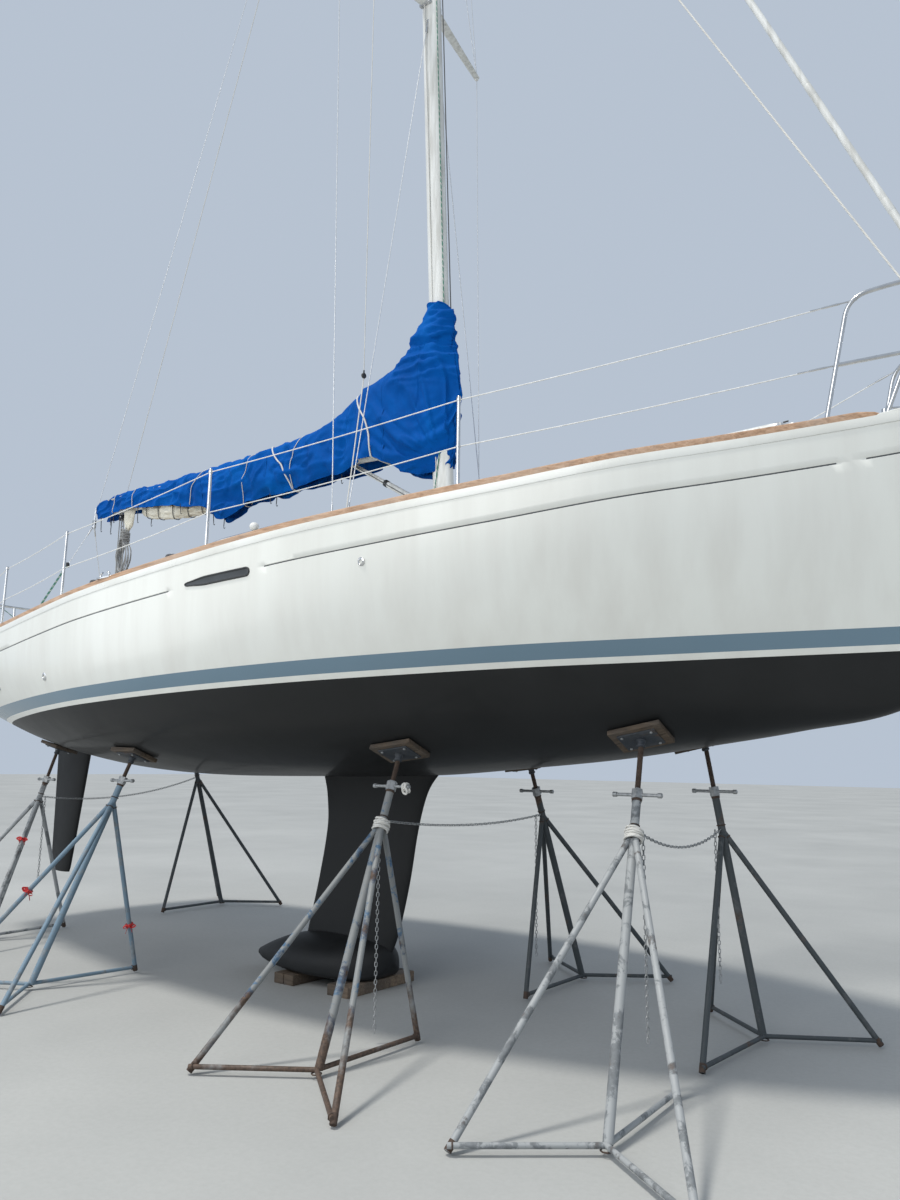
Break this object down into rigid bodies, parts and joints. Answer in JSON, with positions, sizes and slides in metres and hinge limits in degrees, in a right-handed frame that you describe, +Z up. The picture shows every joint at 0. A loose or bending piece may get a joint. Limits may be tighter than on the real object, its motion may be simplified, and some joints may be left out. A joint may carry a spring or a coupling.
{
  "type": "cruising sailing yacht laid up ashore on jack stands",
  "caption": "Fin-keel sloop with mast, boom under a blue sail cover, rails, cockpit and hatches, stored bow-up on keel blocks and tripod jack stands.",
  "frame": {"origin": "on the ground, under the middle of the object's bounding box, in the boat's centre plane", "axes": "+X towards the bow, +Y to port, +Z up; the mast leans 2.8 degrees aft of +Z"},
  "size_m": [10.12, 4.5043, 15.8037],
  "materials": {
    "gelcoat": "glossy white gelcoat with faint stains",
    "antifouling": "matt black antifouling paint",
    "deck": "off-white with moulded non-slip panels",
    "teak": "weathered teak",
    "spar": "white coated aluminium",
    "steel": "polished stainless steel",
    "canvas": "bright blue acrylic canvas, wrinkled",
    "sailcloth": "cream sailcloth",
    "rope": "braided rope and white coated wire",
    "acrylic": "smoked acrylic",
    "galvanised": "galvanised pipe with worn blue and grey paint and rust",
    "timber": "rough sawn, oil-stained"
  },
  "bodies": {
    "boat": {"hull": "gelcoat", "deck": "deck", "coachroof": "gelcoat", "washboard": "teak", "coaming_port": "gelcoat", "coaming_starboard": "gelcoat", "toe_rail_port": "teak", "toe_rail_starboard": "teak", "keel": "antifouling", "steering_pedestal": "gelcoat", "mainsheet_track": "steel", "mast": "spar", "cap_shroud_port": "steel", "lower_shroud_port": "steel", "cap_shroud_starboard": "steel", "lower_shroud_starboard": "steel", "spreaders_lower": "spar", "spreaders_upper": "spar", "stemhead": "steel", "forestay_furler": "spar", "backstay": "steel", "sail_cover_boot": "canvas", "pulpit": "steel", "pushpit": "steel", "stanchion_1_port": "steel", "stanchion_2_port": "steel", "stanchion_3_port": "steel", "stanchion_4_port": "steel", "lifeline_upper_port": "rope", "lifeline_lower_port": "rope", "stanchion_1_starboard": "steel", "stanchion_2_starboard": "steel", "stanchion_3_starboard": "steel", "stanchion_4_starboard": "steel", "lifeline_upper_starboard": "rope", "lifeline_lower_starboard": "rope", "spinnaker_pole": "spar", "keel_block_fore": "timber", "keel_block_aft": "timber", "jack_stand_fore_starboard": "galvanised", "jack_stand_fore_port": "galvanised", "jack_stand_mid_starboard": "galvanised", "jack_stand_mid_port": "galvanised", "jack_stand_aft_starboard": "galvanised", "jack_stand_stern_starboard": "galvanised", "jack_stand_stern_port": "galvanised"},
    "boom_body": {"boom": "spar", "vang": "spar", "sail_cover": "canvas", "sail_bundle": "sailcloth", "mainsheet": "rope"},
    "wheel_body": {"steering_wheel": "steel"},
    "rudder_body": {"rudder": "antifouling"},
    "slide_hatch_body": {"companionway_hatch": "acrylic"},
    "fore_hatch_body": {"fore_hatch_lid": "acrylic"},
    "anchor_lid_body": {"anchor_locker_lid": "deck"},
    "locker_port_body": {"seat_locker_lid_port": "teak"},
    "locker_starboard_body": {"seat_locker_lid_starboard": "teak"}
  },
  "joints": [
    {"name": "boom_swing", "type": "hinge", "parent": "boat", "child": "boom_body", "pos_m": [0.60992, 0, 4.31306], "axis": [-0.049, 0, 0.9988], "range_deg": [-55, 55], "deforming": ["mainsheet"]},
    {"name": "wheel_turn", "type": "hinge", "parent": "boat", "child": "wheel_body", "pos_m": [-3.062, 0, 2.89], "axis": [1, 0, 0], "range_deg": [-360, 360]},
    {"name": "rudder_turn", "type": "hinge", "parent": "boat", "child": "rudder_body", "pos_m": [-4.255, 0, 1.7], "axis": [0.1095, 0, 0.994], "range_deg": [-36, 36]},
    {"name": "companionway_slide", "type": "slide", "parent": "boat", "child": "slide_hatch_body", "axis": [0.9976, 0, 0.0685], "range_m": [0, 0.55]},
    {"name": "fore_hatch_lift", "type": "hinge", "parent": "boat", "child": "fore_hatch_body", "pos_m": [1.736, 0, 3.54633], "axis": [0, 1, 0], "range_deg": [0, 90]},
    {"name": "anchor_lid_lift", "type": "hinge", "parent": "boat", "child": "anchor_lid_body", "pos_m": [3.402, 0, 3.49109], "axis": [0, -1, 0], "range_deg": [0, 90]},
    {"name": "locker_lift_port", "type": "hinge", "parent": "boat", "child": "locker_port_body", "pos_m": [-1.95, 0.878, 2.6604], "axis": [-1, 0, 0], "range_deg": [0, 85]},
    {"name": "locker_lift_starboard", "type": "hinge", "parent": "boat", "child": "locker_starboard_body", "pos_m": [-1.95, -0.878, 2.6604], "axis": [1, 0, 0], "range_deg": [0, 85]}
  ],
  "couplings": [
    {"joint": "rudder_turn", "follows": "wheel_turn", "ratio": 0.0972}
  ]
}
